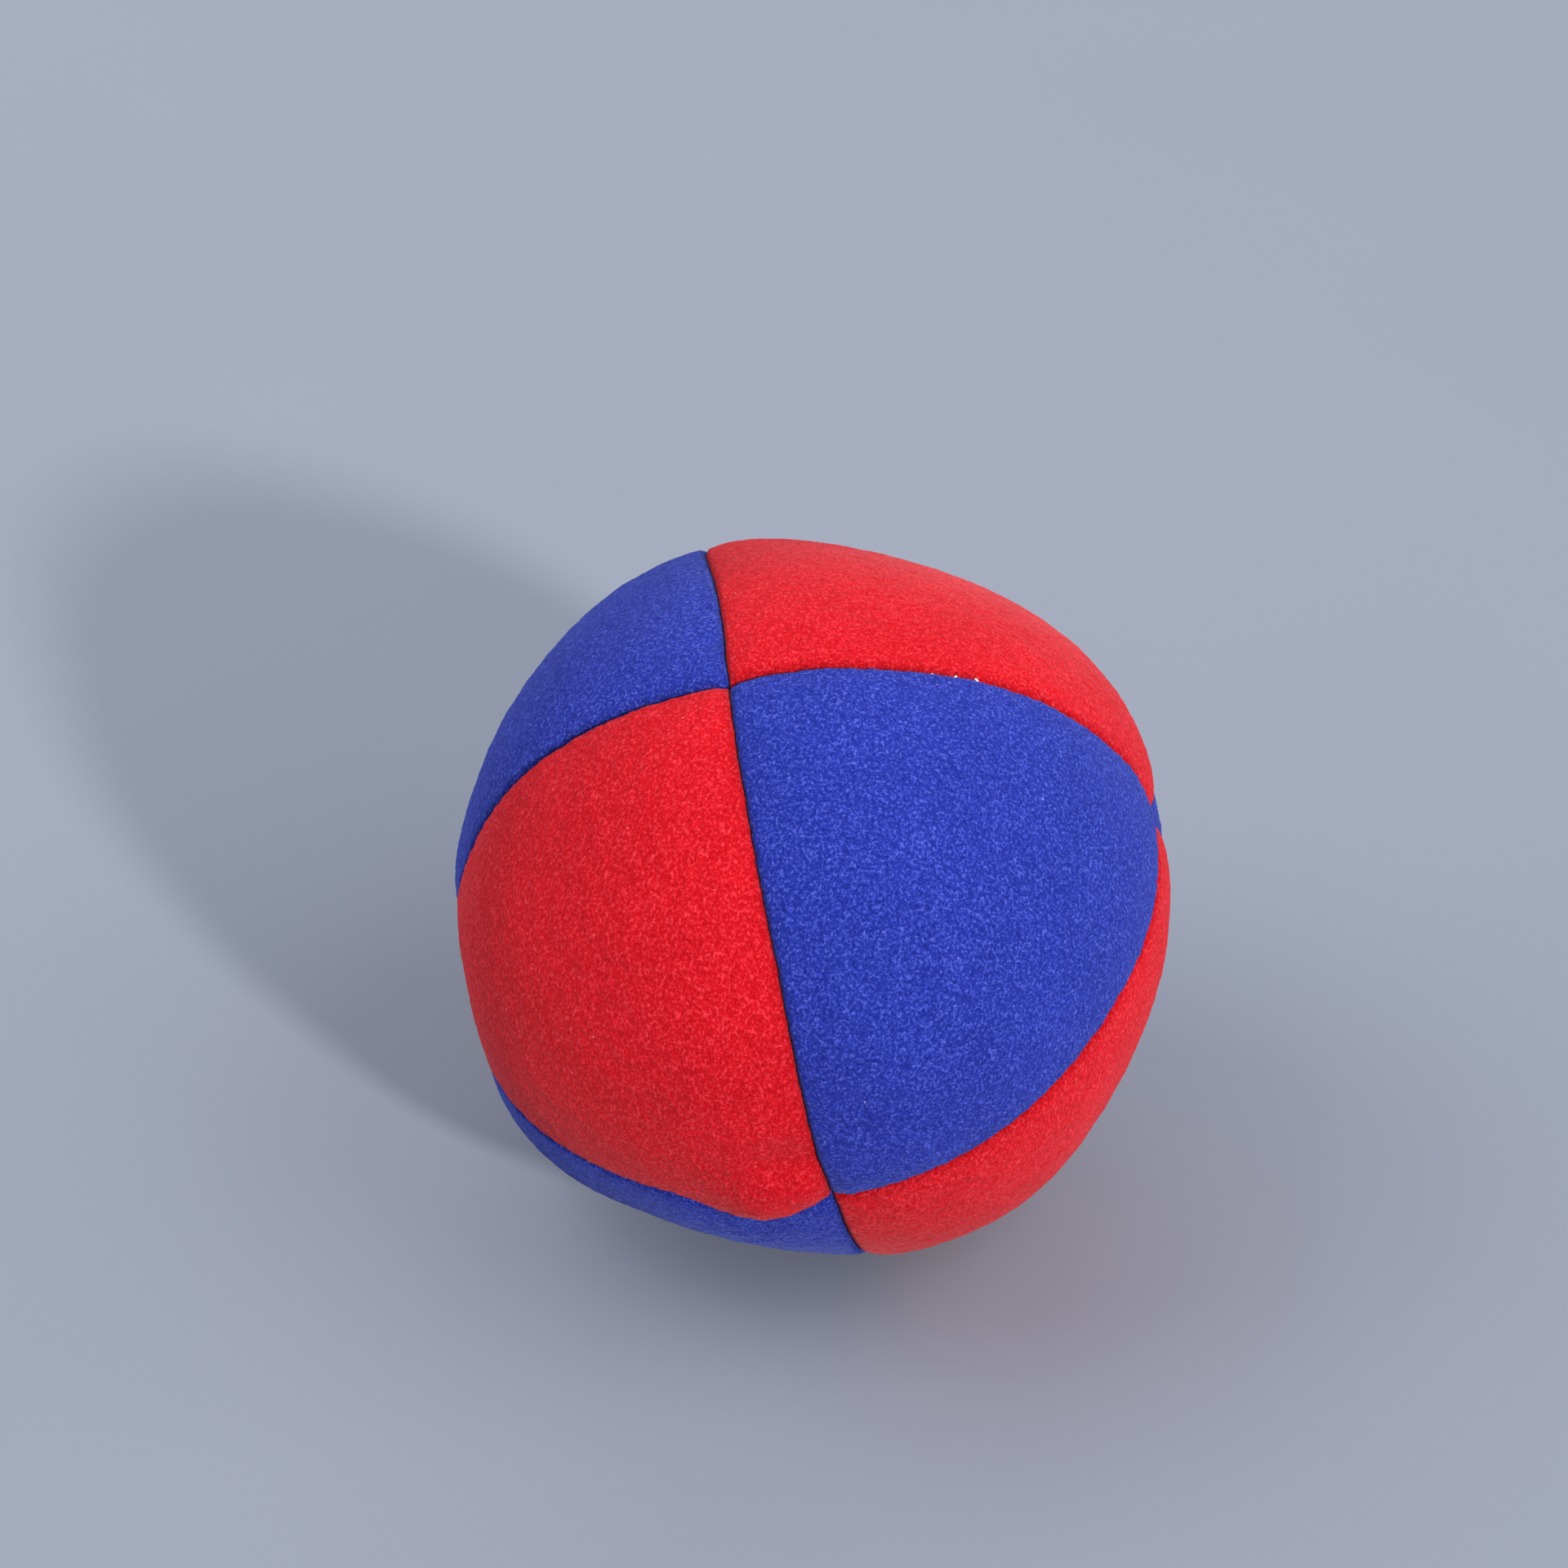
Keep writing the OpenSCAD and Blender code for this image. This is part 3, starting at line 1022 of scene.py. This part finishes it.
def build_softbox(name, azimuth, elevation, power):
    """A square soft light, which faces the ball."""
    data = bpy.data.lights.new(name, "AREA")
    data.energy = power
    data.size = SOFTBOX_SIZE
    data.color = SOFTBOX_COLOUR
    place = Vector(ball_centre) + direction(azimuth, elevation) * SOFTBOX_DISTANCE
    aim(add_to_scene(name, data), place, ball_centre)


def build_world():
    """Even cool light from all round, shown without a film look."""
    world = bpy.data.worlds.new("studio")
    world.use_nodes = True
    background = world.node_tree.nodes["Background"]
    background.inputs["Color"].default_value = (*WORLD_COLOUR, 1)
    background.inputs["Strength"].default_value = WORLD_STRENGTH
    bpy.context.scene.world = world
    bpy.context.scene.view_settings.view_transform = "Standard"


def build_camera():
    """The camera, in front of the ball and above it, as the photo was taken."""
    data = bpy.data.cameras.new("camera")
    data.lens = CAMERA_LENS
    data.clip_start = 0.01
    data.clip_end = 20
    camera = add_to_scene("camera", data)
    e = math.radians(CAMERA_ELEVATION)
    up = Vector((0, math.sin(e), math.cos(e)))
    wide = CAMERA_DISTANCE * data.sensor_width / data.lens
    centre = Vector(ball_centre)
    target = centre - Vector((1, 0, 0)) * SEEN_RIGHT * wide + up * SEEN_BELOW * wide
    aim(camera, centre + direction(0, CAMERA_ELEVATION) * CAMERA_DISTANCE, target)
    bpy.context.scene.camera = camera


# ---------------------------------------------------------------------------------------------
# The ball
# ---------------------------------------------------------------------------------------------

# Runs of machine stitching end this far short of the corners, in degrees
SHORT_END = 3
# Seam circle, first angle and last: degrees round the circle, in the order that circle_dirs uses
MACHINE_RUNS = {
    "stitching_front_upper": (RIGHT, 90 + SHORT_END, 180 - SHORT_END),
    "stitching_front_lower": (RIGHT, 180 + SHORT_END, 270 - SHORT_END),
    "stitching_back_upper": (RIGHT, SHORT_END, 90 - SHORT_END),
    "stitching_back_lower": (RIGHT, 270 + SHORT_END, 360 - SHORT_END),
    "stitching_front_long": (TOP, 180 + SHORT_END, 360 - SHORT_END),
    "stitching_back_long": (TOP, SHORT_END, 180 - SHORT_END),
    "stitching_middle": (BACK, 73, 376),
}
CLOSING_RUN = (BACK, 21.4, 71.4)


def fit_piece(piece, node, material):
    """Give a piece its material, and put it in the place of one CAD node."""
    piece.data.materials.append(material)
    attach(piece, "root")
    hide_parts(node)


def build_grain(fields):
    """The filling, as a tightly filled pad."""
    filling = build_filling(fields)
    fit_piece(filling, "grain_filling", grain_material())


def build_panels(fields):
    """The eight panels, each a sheet of cloth stretched over the filling."""
    cloths = {
        "red": velour("red_velour", RED_SHADES, RED_SHEEN, RED_BRUSH),
        "blue": velour("blue_velour", BLUE_SHADES, BLUE_SHEEN, BLUE_BRUSH),
    }
    for name, signs in PANELS.items():
        colour = name.split("_")[0]
        panel = build_panel(name, signs, fields[name])
        fit_piece(panel, name, cloths[colour])


def build_stitching():
    """The seven runs of machine stitching, and the hand-sewn thread that closes the bag."""
    dark = thread_material("seam_thread", *DARK_THREAD)
    for name, run in MACHINE_RUNS.items():
        path = thread_path(*run, THREAD_DEPTH, THREAD_SWAY, THREAD_LIFT)
        fit_piece(build_thread("sewn_" + name, path, THREAD_R), name, dark)
    path = thread_path(*CLOSING_RUN, CLOSING_DEPTH, CLOSING_SWAY, CLOSING_LIFT, loose=True)
    closing = build_thread("sewn_closing_thread", path, CLOSING_R)
    pale = thread_material("hand_thread", *PALE_THREAD)
    fit_piece(closing, "closing_thread", pale)


build_camera()
build_world()
build_floor()
build_key()
for box_name, box in SOFTBOXES.items():
    build_softbox(box_name, *box)
swelling = swollen_bag()
build_grain(swelling)
build_panels(swelling)
build_stitching()
